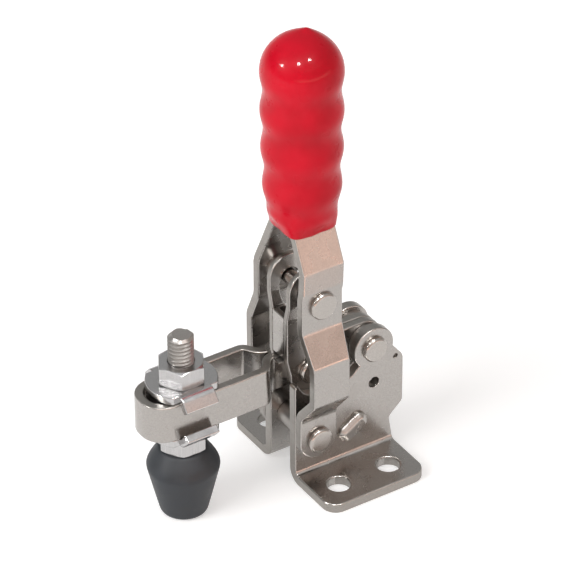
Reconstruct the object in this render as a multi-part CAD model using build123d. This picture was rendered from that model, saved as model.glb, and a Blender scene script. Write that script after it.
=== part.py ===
"""Vertical-handle hold-down toggle clamp with a looped arm, in millimetres.

+Z is up, the arm points to -X, and +Y is the far side. The origin lies on the mounting face, at the
centre of the four base bolts. The clamp is modelled closed: handle upright, arm level, tip on the work.
"""
import os
from math import atan2, cos, degrees, hypot, radians, sin

from build123d import *

# Pivots, seen from the side as (x, z)
handle_pivot = (-8.35, 12.3)        # handle legs on the base
arm_pivot = (8.1, 29.6)             # rear end of the arm on the base
toggle_pivot = (-8.35, 50.3)        # link on the handle legs
link_pivot = (-7.2, 28.1)           # link on the arm, just past the dead centre
open_angle = 57.0                   # travel of the handle, upright to its stop

# Base: two bent plates, one the mirror of the other
base_sheet = 2.5
base_gap = 7.8                      # between the inner faces of the two plates
base_length = 26.4
base_width = 42.4                   # over both flanges
base_bend = 1.1                     # inside radius of the flange bend
flange_corner = 3.6
bolt_hole = 5.5
bolt_pitch_x = 13.5
bolt_pitch_y = 29.0
horn_height = 26.8                  # front corner of a plate
horn_radius = 0.6
rear_reach = 16.1                   # rear edge of a plate, behind the origin
rear_waist = 12.4                   # rear edge just above the flange
rear_step = (8.6, 12.0)             # heights between which the rear edge runs in to the waist
shoulder_drop = 4.9                 # top of the rear shoulder, under the arm pivot
shoulder_radius = 2.6
arm_lobe = 5.3
saddle_gap = 1.9                    # clear space round the head of the link rivet
saddle_end = (2.2, 24.2)            # rear end of the saddle, under the arm lobe
index_hole = 2.8
index_place = (8.1, 20.1)
dimple = 1.1
dimple_depth = 0.5
dimple_place = (13.9, 25.3)
stop_length = 8.0                   # pressed lug that stops the open handle
stop_height = 4.6
stop_reach = 1.7
stop_offset = 7.7                   # its middle, along the open handle from the pivot

# Handle: two bent straps in a dipped grip
strap_sheet = 2.3
strap_width = 10.7
strap_waist = 9.5                   # across the bulge
strap_foot = 5.0                    # radius of the rounded foot
strap_bend = 3.0                    # bend radius on the outer face
grip_lean = 1.3                     # the grip's axis stands this far behind the pivots
lean_levels = (52.5, 58.5)          # the straps lean back between these heights
toggle_flat = 10.2                  # half width over the straps at the toggle pivot
bulge_flat = 14.3                   # half width over the bulge
foot_levels = (19.0, 25.7)          # the straps run in from the bulge to the base
bulge_levels = (36.0, 44.0)
flat_top = 54.0
throat_level = 58.6                 # from here the straps run in steeply to the grip
throat_half = 8.95
neck_level = 68.6
neck_half = 4.3
strap_top = 104.0

grip_bottom = 66.3
grip_top = 115.0
grip_radius = 9.45                  # on the fullest wave
grip_taper = 1.6                    # the skirt is this much slimmer than the top
grip_taper_power = 2.6              # how late the slimming sets in
grip_wave = 0.36                    # half the depth of a wave
wave_pitch = 9.7
skirt_wall = 0.75                   # of the dip, over the straps at its lower edge
skirt_height = 4.4                  # over which the round grip turns square
skirt_corner = 1.8
skirt_taper = 24.0                  # degrees

# Link: one folded channel
link_sheet = 1.5
link_gap = 4.5                      # between its side walls, round the arm
link_bend = 1.8                     # outside radius of the fold
link_front = 6.3                    # face of the spine, ahead of the link pivot
spine_bottom = 4.3                  # over the link pivot
spine_height = 11.4
link_lobe = 5.3                     # at the link pivot
toggle_lobe = 5.2                   # at the toggle pivot
toggle_lift = 0.8                   # of that lobe's centre over the pivot
flare_levels = (43.9, 47.6)
flare_half = 4.7                    # half width over the flared ears
slot_margin = 0.35                  # round the toggle rivet as it crosses its slot

# Arm: one strip folded into a loop
arm_sheet = 2.1
arm_height = 9.6
arm_seam = 0.1                      # hairline between the two ends of the strip
arm_half = 6.1                      # half width over the loop
arm_reach = 58.1                    # arm pivot to the front of the loop
arm_corner = 5.5                    # outside radius at the front
arm_bend = 3.0
arm_joggle = (24.9, 27.5)           # ahead of the arm pivot, where the strip runs out to the loop
arm_boss = 4.5                      # round the link pivot, inside the spine's sweep

# Rivets
pin_radius = 2.0
toggle_pin_radius = 1.75
head_radius = 3.1
toggle_head_radius = 3.35
head_height = 1.25
head_chamfer = 0.45
running_fit = 0.05                  # radial clearance of a pivot
side_play = 0.1                     # between faces that slide past each other
spacer_radius = 4.2
sleeve_radius = 3.2
toggle_spacer_radius = 3.2

# Spindle: stud, two nuts, two flanged washers and a rubber tip
spindle_place = 47.1                # ahead of the arm pivot
thread_radius = 3.0
stud_top = 48.4
stud_bottom = 6.0
thread_fit = 0.05
nut_flats = 10.0
nut_height = 4.8
nut_chamfer = 0.7
washer_sheet = 2.0
washer_radius = 8.2
lip_length = 8.4
lip_width = 2.4                     # out from its bend
lip_angle = 50.0                    # degrees that a washer's lips are bent
lip_bend = 2.6                      # outside radius
tip_gap = 0.3                       # under the tip, to the mounting plane
tip_foot = 5.5
tip_shoulder = 8.35
tip_shoulder_level = 12.9
tip_collar = 5.6
foot_round = 0.9

# Worked out from the sizes above
half_length = base_length / 2
plate_inner = base_gap / 2
plate_outer = plate_inner + base_sheet
arm_plate = arm_seam / 2 + arm_sheet
link_inner = link_gap / 2
link_outer = link_inner + link_sheet
foot_inner = plate_outer + side_play
foot_outer = foot_inner + strap_sheet
toggle_inner = toggle_flat - strap_sheet
arm_bottom = arm_pivot[1] - arm_height / 2
arm_top = arm_pivot[1] + arm_height / 2
spindle_x = arm_pivot[0] - spindle_place
grip_x = handle_pivot[0] + grip_lean
far = 200.0                         # longer than any piece


def turned(vector, angle):
    """Turn a side-view vector rearwards, as the handle opens, by an angle in degrees."""
    c, s = cos(radians(angle)), sin(radians(angle))
    return (vector[0] * c + vector[1] * s, vector[1] * c - vector[0] * s)


def plus(a, b):
    return (a[0] + b[0], a[1] + b[1])


def minus(a, b):
    return (a[0] - b[0], a[1] - b[1])


def open_turns():
    """Angles that the arm and the link have turned through when the handle meets its stop."""
    toggle = plus(handle_pivot, turned(minus(toggle_pivot, handle_pivot), open_angle))
    crank = hypot(*minus(link_pivot, arm_pivot))
    rod = hypot(*minus(toggle_pivot, link_pivot))
    across = minus(toggle, arm_pivot)
    span = hypot(*across)
    along = (crank**2 - rod**2 + span**2) / (2 * span)
    height = (crank**2 - along**2) ** 0.5
    unit = (across[0] / span, across[1] / span)
    pin = plus(arm_pivot, (unit[0] * along - unit[1] * height, unit[1] * along + unit[0] * height))

    def turn(before, after):
        return (degrees(atan2(before[1], before[0]) - atan2(after[1], after[0]))) % 360

    arm_turn = turn(minus(link_pivot, arm_pivot), minus(pin, arm_pivot))
    link_turn = turn(minus(link_pivot, toggle_pivot), minus(pin, toggle))
    return arm_turn, link_turn


def toggle_path(steps):
    """Places of the toggle rivet in the link, when arm and link turn evenly with the handle."""
    arm_turn, link_turn = open_turns()
    places = []
    for step in range(steps + 1):
        share = step / steps
        pin = plus(arm_pivot, turned(minus(link_pivot, arm_pivot), arm_turn * share))
        rivet = plus(handle_pivot, turned(minus(toggle_pivot, handle_pivot), open_angle * share))
        places.append(plus(link_pivot, turned(minus(rivet, pin), -link_turn * share)))
    return places


def through(sketch, low, high):
    """Solid between two y planes from a sketch drawn as (x, z)."""
    return extrude(Plane.XZ.offset(-high) * sketch, high - low)


def cylinder_y(place, radius, low, high):
    return through(Pos(*place) * Circle(radius), low, high)


def bent_sheet(points, radii, sheet, side):
    """Section of a folded sheet, from the line of one face and the side it thickens to."""
    line = FilletPolyline(*points, radius=radii)
    return make_face(offset(line, amount=sheet, side=side, closed=True).edges())


def base_outline():
    """Side view of a base plate, foot included."""
    shoulder = arm_pivot[1] - shoulder_drop
    saddle = head_radius + saddle_gap
    body = Polygon(
        (-half_length, -1),
        (half_length, -1),
        (half_length, base_sheet + base_bend),
        (rear_waist, rear_step[0]),
        (rear_reach, rear_step[1]),
        (rear_reach, shoulder),
        (arm_pivot[0] + arm_lobe - 0.3, arm_pivot[1] - 1.0),
        arm_pivot,
        saddle_end,
        (saddle_end[0] - 3.0, link_pivot[1] - saddle),
        (link_pivot[0], link_pivot[1] - saddle),
        (link_pivot[0], horn_height),
        (-half_length, horn_height),
    )
    corners = {
        (-half_length, horn_height): horn_radius,
        (rear_reach, shoulder): shoulder_radius,
        (rear_reach, rear_step[1]): 1.8,
        (rear_waist, rear_step[0]): 1.8,
    }
    for corner, radius in corners.items():
        body = fillet(body.vertices().sort_by_distance((*corner, 0))[0], radius)
    body += Pos(*arm_pivot) * Circle(arm_lobe)
    body -= Pos(*link_pivot) * Circle(saddle)
    body -= Pos(*handle_pivot) * Circle(pin_radius)
    body -= Pos(*arm_pivot) * Circle(pin_radius)
    body -= Pos(*index_place) * Circle(index_hole / 2)
    return body


def stop_lug():
    """Lug pressed out of a base plate: its upper edge is sheared and lies along the open strap."""
    start = plus(handle_pivot, turned((strap_foot + side_play, stop_offset), open_angle))
    slope = 90 - open_angle
    blank = Pos(*start) * Rot(0, 0, slope) * (
        Pos(0, -stop_height / 2) * RectangleRounded(stop_length, stop_height, 1.9)
    )
    lug = through(blank, plate_outer - 0.2, plate_outer + stop_reach)
    outer = lug.faces().sort_by(Axis.Y)[-1]
    edges = [e for e in outer.edges() if (e.center() - Vector(start[0], e.center().Y, start[1])).length > 1.0]
    return chamfer(edges, stop_reach * 0.62)


def base_plate():
    """Far base plate: upright wall, outward flange, holes, dimple and stop lug."""
    top = arm_pivot[1] + arm_lobe + 5
    section = bent_sheet(
        [(plate_outer, top), (plate_outer, base_sheet), (base_width / 2 + 1, base_sheet)],
        [base_bend],
        base_sheet,
        Side.RIGHT,
    )
    sheet = extrude(Plane.YZ.offset(-far / 2) * section, far)
    wall = through(base_outline(), 0, plate_outer + base_bend)
    flange_edge = base_width / 2
    plan = Rectangle(base_length, flange_edge - plate_outer, align=(Align.CENTER, Align.MIN))
    plan = Pos(0, plate_outer) * plan
    plan = fillet(plan.vertices().group_by(Axis.Y)[-1], flange_corner)
    for x in (-bolt_pitch_x / 2, bolt_pitch_x / 2):
        plan -= Pos(x, bolt_pitch_y / 2) * Circle(bolt_hole / 2)
    flange = Pos(0, 0, -1) * extrude(plan, base_sheet + base_bend + 1)
    plate = sheet & (wall + flange)
    plate += stop_lug()
    plate -= Pos(dimple_place[0], plate_outer, dimple_place[1]) * Rot(90, 0, 0) * Cone(
        0.2, dimple, 2 * dimple_depth
    )
    return plate


def strap_outline():
    """Side view of a handle strap, from its rounded foot to its top inside the grip."""
    half = strap_width / 2
    waist = strap_waist / 2
    x = handle_pivot[0]
    lean = grip_lean
    lean_low, lean_high = lean_levels
    right = [
        (x + strap_foot, handle_pivot[1]),
        (x + waist, foot_levels[1]),
        (x + waist, bulge_levels[0]),
        (x + half, bulge_levels[1]),
        (x + half, lean_low),
        (x + half + lean, lean_high),
        (x + half + lean, strap_top),
    ]
    left = [
        (x - half + lean, strap_top),
        (x - half + lean, lean_high),
        (x - half, lean_low),
        (x - half, bulge_levels[1]),
        (x - waist, bulge_levels[0]),
        (x - waist, foot_levels[1]),
        (x - strap_foot, handle_pivot[1]),
    ]
    outline = Polygon(*right, *left)
    outline += Pos(*handle_pivot) * Circle(strap_foot)
    outline -= Pos(*handle_pivot) * Circle(pin_radius + running_fit)
    outline -= Pos(*toggle_pivot) * Circle(toggle_pin_radius)
    return outline


def strap():
    """Far handle strap: foot on the base, bulge over the rivet heads, flat at the toggle pivot, grip."""
    line = [
        (strap_sheet + 0.05, strap_top + 1),
        (strap_sheet + 0.05, neck_level + 6),
        (neck_half, neck_level),
        (throat_half, throat_level),
        (toggle_flat, flat_top),
        (toggle_flat, bulge_levels[1]),
        (bulge_flat, bulge_levels[0]),
        (bulge_flat, foot_levels[1]),
        (foot_outer, foot_levels[0]),
        (foot_outer, handle_pivot[1] - strap_foot - 1),
    ]
    section = bent_sheet(line, [strap_bend] * 8, strap_sheet, Side.RIGHT)
    return extrude(Plane.YZ.offset(-far / 2) * section, far) & through(strap_outline(), 0, bulge_flat + 1)


def grip():
    """Dipped grip: a wavy club with a domed top and a skirt drawn in square round the straps."""
    top_wave = grip_top - grip_radius
    skirt_level = grip_bottom + skirt_height / 2
    steps = 24
    points = []
    for step in range(steps + 1):
        share = step / steps
        drop = share * (top_wave - skirt_level)
        middle = grip_radius - grip_wave - grip_taper * share**grip_taper_power
        points.append((middle + grip_wave * cos(radians(360 * drop / wave_pitch)), top_wave - drop))
    skirt = points[-1][0]
    side = Spline(*points, (skirt, grip_bottom), tangents=[(0, -1), (0, -1)])
    crown = CenterArc((0, top_wave), grip_radius, 0, 90)
    foot = Polyline((skirt, grip_bottom), (0, grip_bottom), (0, grip_top))
    body = revolve(Plane.XZ * make_face([crown, side, foot]), Axis.Z)
    share = (neck_level - grip_bottom) / (neck_level - throat_level)
    over_straps = neck_half + share * (throat_half - neck_half)
    column = extrude(
        RectangleRounded(strap_width + 2 * skirt_wall, 2 * (over_straps + skirt_wall), skirt_corner),
        skirt_height,
        taper=-skirt_taper,
    )
    shavings = extrude(Circle(2 * grip_radius), skirt_height) - column
    return Pos(grip_x, 0, 0) * (body - Pos(0, 0, grip_bottom) * shavings)


def link_outline():
    """Side view of the link's walls with their two lobes."""
    lobe_level = toggle_pivot[1] + toggle_lift
    low = Pos(*link_pivot) * Circle(link_lobe)
    high = Pos(toggle_pivot[0], lobe_level) * Circle(toggle_lobe)
    front = toggle_pivot[0] - toggle_lobe
    web = Polygon(
        (link_pivot[0] - link_lobe, link_pivot[1]),
        (link_pivot[0] + link_lobe, link_pivot[1]),
        (toggle_pivot[0] + toggle_lobe, lobe_level),
        (front, lobe_level),
        (front, link_pivot[1] + spine_bottom),
    )
    return low + high + web


def toggle_slot():
    """Slot that lets the toggle rivet cross the link between its two end positions."""
    radius = toggle_pin_radius + slot_margin
    edges = []
    for place in toggle_path(12):
        edges += (Pos(*place) * Circle(radius)).edges()
    return make_hull(edges)


def link():
    """Folded channel that straddles the arm below and reaches the handle straps above."""
    face = link_pivot[0] - link_front
    reach = max(link_pivot[0] + link_lobe, toggle_pivot[0] + toggle_lobe)
    fold = bent_sheet(
        [(reach, -link_outer), (face, -link_outer), (face, link_outer), (reach, link_outer)],
        [link_bend, link_bend],
        link_sheet,
        Side.RIGHT,
    )
    spine = Pos(0, 0, link_pivot[1] + spine_bottom) * extrude(fold, spine_height)
    wall_line = [
        (link_outer, link_pivot[1] - link_lobe - 1),
        (link_outer, flare_levels[0]),
        (flare_half, flare_levels[1]),
        (flare_half, toggle_pivot[1] + toggle_lift + toggle_lobe + 1),
    ]
    wall = bent_sheet(wall_line, [2.0, 2.6], link_sheet, Side.LEFT)
    wall = extrude(Plane.YZ.offset(-far / 2) * wall, far)
    walls = (wall + mirror(wall, Plane.XZ)) & through(link_outline(), -far / 2, far / 2)
    body = walls + (spine & through(link_outline() + Pos(face + 2, link_pivot[1] + spine_bottom) *
                    Rectangle(4, spine_height, align=(Align.CENTER, Align.MIN)), -far / 2, far / 2))
    body -= through(toggle_slot(), -far / 2, far / 2)
    body -= cylinder_y(link_pivot, pin_radius, -far / 2, far / 2)
    return body


def arm_outline():
    """Side view of the arm: rounded rear end, boss round the link pivot, straight loop."""
    front = arm_pivot[0] - arm_reach
    bar = Polygon(
        (front - 1, arm_bottom),
        (arm_pivot[0], arm_bottom),
        (arm_pivot[0], arm_top),
        (front - 1, arm_top),
    )
    bar += Pos(*arm_pivot) * Circle(arm_height / 2)
    face = link_pivot[0] - link_front
    cut_top = link_pivot[1] + spine_bottom - 0.5
    notch = Polygon(
        (face - 1.2, cut_top),
        (link_pivot[0] + 1.0, cut_top),
        (link_pivot[0] + 1.0, arm_top + 1),
        (face - 3.2, arm_top + 1),
    )
    notch -= Pos(*link_pivot) * Circle(arm_boss)
    bar -= notch
    bar -= Pos(*arm_pivot) * Circle(pin_radius + running_fit)
    bar -= Pos(*link_pivot) * Circle(pin_radius + running_fit)
    return bar


def arm():
    """Strip folded round a loop, with both ends laid together from the joggle to the arm pivot."""
    rear = arm_pivot[0] + arm_height / 2 + 1
    front = arm_pivot[0] - arm_reach
    inner_x = arm_pivot[0] - arm_joggle[0]
    outer_x = arm_pivot[0] - arm_joggle[1]
    line = [
        (rear, -arm_plate),
        (inner_x, -arm_plate),
        (outer_x, -arm_half),
        (front, -arm_half),
        (front, arm_half),
        (outer_x, arm_half),
        (inner_x, arm_plate),
        (rear, arm_plate),
    ]
    radii = [arm_bend, arm_bend, arm_corner, arm_corner, arm_bend, arm_bend]
    strip = bent_sheet(line, radii, arm_sheet, Side.RIGHT)
    band = Pos(0, 0, arm_bottom - 1) * extrude(strip, arm_height + 2)
    return band & through(arm_outline(), -arm_half - 1, arm_half + 1)


def rivet(place, radius, head, seat):
    """Rivet along y with a bevelled head on each seat."""
    profile = Polygon(
        (0, 0),
        (radius, 0),
        (radius, seat),
        (head, seat),
        (head, seat + head_height - head_chamfer),
        (head - head_chamfer, seat + head_height),
        (0, seat + head_height),
    )
    half = revolve(Plane.XZ * profile, Axis.Z)
    whole = half + mirror(half, Plane.XY)
    return Pos(place[0], 0, place[1]) * Rot(90, 0, 0) * whole


def ring(place, bore, radius, low, high):
    """Spacer between two y planes."""
    return through(Pos(*place) * (Circle(radius) - Circle(bore)), low, high)


def hex_nut(bottom):
    """Hexagon nut with both faces bevelled, its corners on the x axis."""
    corner = nut_flats / 2 / cos(radians(30))
    body = extrude(RegularPolygon(corner, 6), nut_height)
    low = nut_flats / 2 - 0.1
    bevel = Polygon(
        (0, 0),
        (low, 0),
        (low + 2 * nut_chamfer, nut_chamfer),
        (low + 2 * nut_chamfer, nut_height - nut_chamfer),
        (low, nut_height),
        (0, nut_height),
    )
    body &= revolve(Plane.XZ * bevel, Axis.Z)
    body -= extrude(Circle(thread_radius + thread_fit), nut_height)
    return Pos(spindle_x, 0, bottom) * body


def lipped_washer():
    """Washer that lies on the loop, inner face at z = 0, lips flared past both sides of the strip."""
    inner = arm_half + side_play
    out, down = lip_width * cos(radians(lip_angle)), lip_width * sin(radians(lip_angle))
    top = washer_sheet
    line = [(0, top), (inner + top * sin(radians(lip_angle)) / 2, top)]
    line.append((line[1][0] + top * sin(radians(lip_angle)) / 2 + out, top - down))
    section = bent_sheet(line, [lip_bend], washer_sheet, Side.RIGHT)
    lip = extrude(Plane.YZ.offset(-lip_length / 2) * section, lip_length)
    plate = extrude(Circle(washer_radius) & Rectangle(2 * washer_radius, 2 * inner), washer_sheet)
    body = plate + lip + mirror(lip, Plane.XZ)
    return body - extrude(Circle(thread_radius + thread_fit), washer_sheet)


def rubber_tip():
    """Moulded tip: rounded foot, cone, full shoulder and a collar under the nut."""
    top = arm_bottom - side_play / 2 - washer_sheet - nut_height
    foot = Line((0, tip_gap), (tip_foot - foot_round, tip_gap))
    heel = ThreePointArc(
        (tip_foot - foot_round, tip_gap),
        (tip_foot - 0.2, tip_gap + 0.35),
        (tip_foot + 0.15, tip_gap + foot_round),
    )
    cone = Line((tip_foot + 0.15, tip_gap + foot_round), (tip_shoulder - 0.3, tip_shoulder_level - 1.2))
    shoulder = Spline(
        (tip_shoulder - 0.3, tip_shoulder_level - 1.2),
        (tip_shoulder, tip_shoulder_level),
        (tip_shoulder - 0.75, tip_shoulder_level + 2.4),
        (tip_collar, top),
        tangents=[(0.24, 1), (-0.9, 0.75)],
    )
    lid = Polyline((tip_collar, top), (0, top), (0, tip_gap))
    body = revolve(Plane.XZ * make_face([foot, heel, cone, shoulder, lid]), Axis.Z)
    bore = Pos(0, 0, stud_bottom) * extrude(Circle(thread_radius), top)
    return Pos(spindle_x, 0, 0) * (body - bore)


def build():
    """Every piece by name, at its place in the closed clamp."""
    seat = arm_top + side_play / 2
    under = arm_bottom - side_play / 2
    washer = lipped_washer()
    far_plate = base_plate()
    far_strap = strap()
    straps = far_strap + mirror(far_strap, Plane.XZ)
    toggle_low = flare_half + side_play
    arm_low = arm_plate + running_fit
    pieces = {
        "base_plate_far": far_plate,
        "base_plate_near": mirror(far_plate, Plane.XZ),
        "base_rivet": rivet(handle_pivot, pin_radius, head_radius, foot_outer + side_play),
        "base_sleeve": ring(handle_pivot, pin_radius, sleeve_radius, -plate_inner, plate_inner),
        "arm_rivet": rivet(arm_pivot, pin_radius, head_radius, plate_outer),
        "arm_washer_far": ring(arm_pivot, pin_radius, spacer_radius, arm_low, plate_inner),
        "arm_washer_near": ring(arm_pivot, pin_radius, spacer_radius, -plate_inner, -arm_low),
        "strap_far": far_strap,
        "strap_near": mirror(far_strap, Plane.XZ),
        "toggle_rivet": rivet(toggle_pivot, toggle_pin_radius, toggle_head_radius, toggle_flat),
        "toggle_spacer_far": ring(toggle_pivot, toggle_pin_radius, toggle_spacer_radius, toggle_low, toggle_inner),
        "toggle_spacer_near": ring(toggle_pivot, toggle_pin_radius, toggle_spacer_radius, -toggle_inner, -toggle_low),
        "grip": grip() - straps,
        "link": link(),
        "link_rivet": rivet(link_pivot, pin_radius, head_radius, link_outer),
        "arm": arm(),
        "stud": Pos(spindle_x, 0, stud_bottom) * extrude(Circle(thread_radius), stud_top - stud_bottom),
        "washer_upper": Pos(spindle_x, 0, seat) * washer,
        "washer_lower": Pos(spindle_x, 0, under) * Rot(180, 0, 0) * washer,
        "nut_upper": hex_nut(seat + washer_sheet),
        "nut_lower": hex_nut(under - washer_sheet - nut_height),
        "rubber_tip": rubber_tip(),
    }
    return pieces


os.makedirs("parts", exist_ok=True)
for name, piece in build().items():
    export_step(piece, f"parts/{name}.step")
print("arm and link turn, in degrees:", [round(turn, 3) for turn in open_turns()])
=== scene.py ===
"""Vertical-handle toggle clamp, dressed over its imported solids. Lengths are in metres, angles in degrees.

+Z is up, the arm points to -X, and -Y is the near side. The origin lies on the mounting face.
"""
import logging
import math
from contextlib import contextmanager
from dataclasses import dataclass, field
from enum import Enum
from typing import Callable, ClassVar, Iterator, Sequence

import bmesh
import bpy
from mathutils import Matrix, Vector


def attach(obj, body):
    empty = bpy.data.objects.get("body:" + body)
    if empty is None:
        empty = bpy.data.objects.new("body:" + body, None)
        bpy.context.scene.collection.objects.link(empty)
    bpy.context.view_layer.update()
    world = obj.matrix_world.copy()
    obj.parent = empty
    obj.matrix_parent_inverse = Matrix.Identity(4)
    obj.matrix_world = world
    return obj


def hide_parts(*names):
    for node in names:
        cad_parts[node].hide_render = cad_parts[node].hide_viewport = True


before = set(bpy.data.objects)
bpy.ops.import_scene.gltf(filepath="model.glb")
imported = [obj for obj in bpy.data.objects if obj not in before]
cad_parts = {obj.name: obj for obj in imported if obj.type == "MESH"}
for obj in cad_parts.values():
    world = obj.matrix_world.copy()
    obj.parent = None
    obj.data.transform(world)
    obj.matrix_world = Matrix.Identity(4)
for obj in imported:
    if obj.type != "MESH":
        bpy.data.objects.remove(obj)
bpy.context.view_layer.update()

MM = 0.001
WELD = 0.002 * MM  # points nearer than this are one
logging.basicConfig(level=logging.INFO, format="%(name)s: %(message)s")
log = logging.getLogger("clamp")

Place = tuple[float, float, float]
Span = tuple[float, float]
Stops = Sequence[tuple[float, str]]


class Body(Enum):
    """Moving bodies of the clamp."""

    BASE = "base"
    HANDLE = "handle"
    ARM = "arm"
    LINK = "link"
    SPINDLE = "spindle"


class Slot(Enum):
    """Material slots of the record."""

    BASE = "base_steel"
    STRAP = "strap_steel"
    LINK = "link_steel"
    ARM = "arm_steel"
    RIVET = "rivets"
    SPACER = "spacers"
    FASTENER = "fasteners"
    GRIP = "grip_vinyl"
    TIP = "tip_rubber"


class Way(Enum):
    """Axes that marks run along and turned pieces stand on."""

    X = (1.0, 0.0, 0.0)
    Y = (0.0, 1.0, 0.0)
    Z = (0.0, 0.0, 1.0)


# ---------------------------------------------------------------- colours and nodes

# A noise pattern keeps to the middle of its range, which is spread out to this span before use.
MIDDLE = {"From Min": 0.32, "From Max": 0.68}
STREAK = 0.94  # how far marks are drawn out along their axis: 1 would be endless


def srgb(code: str) -> tuple[float, float, float, float]:
    """Turn an sRGB hex code into a linear colour.

    Args:
        code: Six hex digits.

    Returns:
        Linear red, green, blue and an alpha of 1.
    """
    parts = [int(code[i : i + 2], 16) / 255 for i in (0, 2, 4)]
    linear = [p / 12.92 if p <= 0.04045 else ((p + 0.055) / 1.055) ** 2.4 for p in parts]
    return (linear[0], linear[1], linear[2], 1.0)


def darker(colour: Sequence[float], share: float) -> tuple[float, float, float, float]:
    """Return a linear colour with only a share of its light."""
    return (share * colour[0], share * colour[1], share * colour[2], 1.0)


def add_node(
    tree: bpy.types.NodeTree,
    kind: str,
    inputs: dict[str | int, object],
    stops: Stops = (),
    **settings: object,
) -> bpy.types.Node:
    """Add one shader node with its settings, values and links.

    Args:
        tree: Node tree that takes the node.
        kind: Blender's name for the type of node.
        inputs: Input name or number, to its value or to the output that feeds it.
        stops: Place and hex code of each colour, on a colour ramp.
        settings: Attributes of the node.

    Returns:
        The new node.
    """
    node = tree.nodes.new(kind)
    for name, value in settings.items():
        setattr(node, name, value)
    for place, _ in stops[1:-1]:
        node.color_ramp.elements.new(place)
    for element, (place, code) in zip(node.color_ramp.elements if stops else (), stops):
        element.position, element.color = place, srgb(code)
    for socket, value in inputs.items():
        if isinstance(value, bpy.types.NodeSocket):
            tree.links.new(value, node.inputs[socket])
        else:
            node.inputs[socket].default_value = value
    return node


def speckle(
    tree: bpy.types.NodeTree, size: float, detail: float, stretch: Way | None = None
) -> bpy.types.NodeSocket:
    """Lay a random pattern on Object coordinates.

    Args:
        tree: Node tree that takes it.
        size: Width of a patch of the pattern.
        detail: Finer layers on top.
        stretch: Axis along which the pattern is drawn out into streaks.

    Returns:
        The pattern, from 0 to 1.
    """
    place = add_node(tree, "ShaderNodeTexCoord", {}).outputs["Object"]
    if stretch is not None:
        scale = [1.0 - STREAK * part for part in stretch.value]
        place = add_node(tree, "ShaderNodeMapping", {"Vector": place, "Scale": scale}).outputs[0]
    values = {"Vector": place, "Scale": 1.0 / size, "Detail": detail}
    return add_node(tree, "ShaderNodeTexNoise", values).outputs[0]


# ---------------------------------------------------------------- finishes


@dataclass(frozen=True)
class Finish:
    """A finish that makes its material once and hands it out."""

    title: str
    made: ClassVar[dict[str, bpy.types.Material]] = {}

    def shader(self, tree: bpy.types.NodeTree) -> bpy.types.NodeSocket:
        """Lay the nodes of the finish and return the shader's output."""
        raise NotImplementedError

    def material(self) -> bpy.types.Material:
        """Make the material of this finish on the first call.

        Returns:
            The material, the same one each time.
        """
        if self.title not in self.made:
            material = bpy.data.materials.new(self.title)
            material.use_nodes = True
            material.node_tree.nodes.clear()
            surface = self.shader(material.node_tree)
            add_node(material.node_tree, "ShaderNodeOutputMaterial", {"Surface": surface})
            self.made[self.title] = material
        return self.made[self.title]

    def coated(
        self,
        tree: bpy.types.NodeTree,
        colours: tuple[object, object],
        shades: bpy.types.NodeSocket,
        gloss: tuple[bpy.types.NodeSocket, Span],
        relief: tuple[bpy.types.NodeSocket, float],
        values: dict[str, object],
    ) -> bpy.types.NodeSocket:
        """Lay the surface that all pieces have: two shades, a roughness that wanders, and a fine relief.

        Args:
            tree: Node tree that takes it.
            colours: Linear colour where the pattern of shades is weak, and where it is strong.
            shades: Pattern that the two shades follow.
            gloss: Pattern that the roughness follows, and its lowest and highest value.
            relief: Pattern of the marks, and their depth.
            values: The shader's own values.

        Returns:
            The shader.
        """
        factor = add_node(tree, "ShaderNodeMapRange", {"Value": shades, **MIDDLE}).outputs[0]
        shade = add_node(tree, "ShaderNodeMix", {0: factor, 6: colours[0], 7: colours[1]}, data_type="RGBA")
        spread = {"Value": gloss[0], **MIDDLE, "To Min": gloss[1][0], "To Max": gloss[1][1]}
        rough = add_node(tree, "ShaderNodeMapRange", spread)
        bump = add_node(tree, "ShaderNodeBump", {"Height": relief[0], "Strength": 1.0, "Distance": relief[1]})
        surface = {"Base Color": shade.outputs[2], "Roughness": rough.outputs[0], "Normal": bump.outputs[0]}
        return add_node(tree, "ShaderNodeBsdfPrincipled", surface | values).outputs[0]


@dataclass(frozen=True)
class Steel(Finish):
    """Bare stainless steel.

    Attributes:
        colour: Hex code of the steel.
        gloss: Lowest and highest roughness.
        cloud: Size of the soft patches in the polish.
        grain: Width of the finest marks.
        relief: Depth of those marks.
        stretch: Axis along which the marks run, if they have one.
        dulling: Share of its light that the steel keeps in the marks.
    """

    colour: str
    gloss: Span
    cloud: float
    grain: float
    relief: float
    stretch: Way | None = None
    dulling: float = 0.88

    def shader(self, tree: bpy.types.NodeTree) -> bpy.types.NodeSocket:
        """Lay fine marks and polish clouds.

        Args:
            tree: Node tree of the material.

        Returns:
            The shader.
        """
        marks = speckle(tree, self.grain, 2.0, self.stretch)
        clouds = speckle(tree, self.cloud, 3.0)
        bright = srgb(self.colour)
        colours = (darker(bright, self.dulling), bright)
        metal = {"Metallic": 1.0}
        return self.coated(tree, colours, marks, (clouds, self.gloss), (marks, self.relief), metal)


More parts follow.
